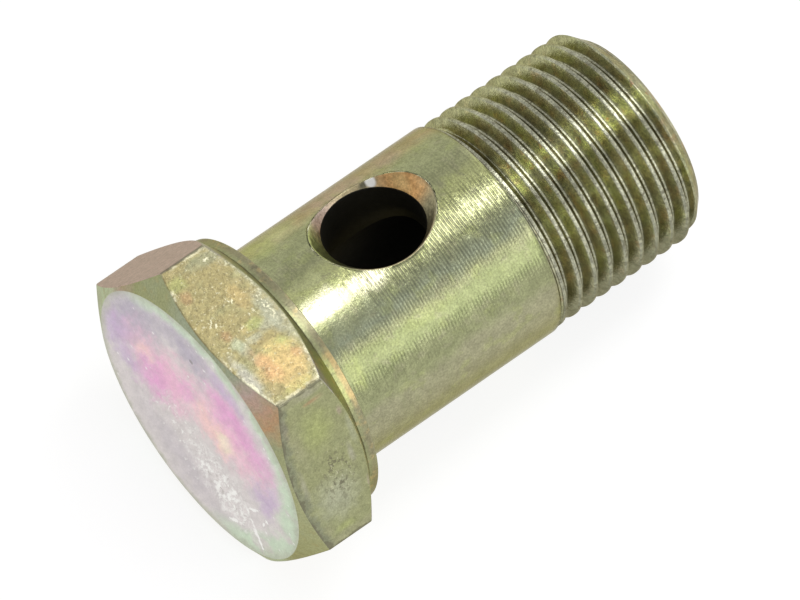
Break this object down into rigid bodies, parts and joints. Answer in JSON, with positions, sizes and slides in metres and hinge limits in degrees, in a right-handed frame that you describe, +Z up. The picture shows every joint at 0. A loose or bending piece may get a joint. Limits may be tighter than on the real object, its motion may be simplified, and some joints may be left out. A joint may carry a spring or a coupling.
{
  "type": "banjo bolt",
  "caption": "Hollow hexagon-head bolt with a fine pipe thread, an axial bore and a cross hole, which clamps a banjo fitting to a port and feeds it.",
  "frame": {"origin": "centre of the bolt's footprint, on the surface it lies on", "axes": "+X along the bolt from its head to its threaded end, +Z up; the bolt lies on one flat of its hexagon, so its own axis dips 5.2 degrees towards +X"},
  "size_m": [0.0392, 0.0254, 0.0224],
  "materials": {
    "yellow_zinc_steel": "turned steel with yellow chromate zinc plating"
  },
  "bodies": {
    "root": {"banjo_bolt": "yellow_zinc_steel"}
  },
  "joints": []
}
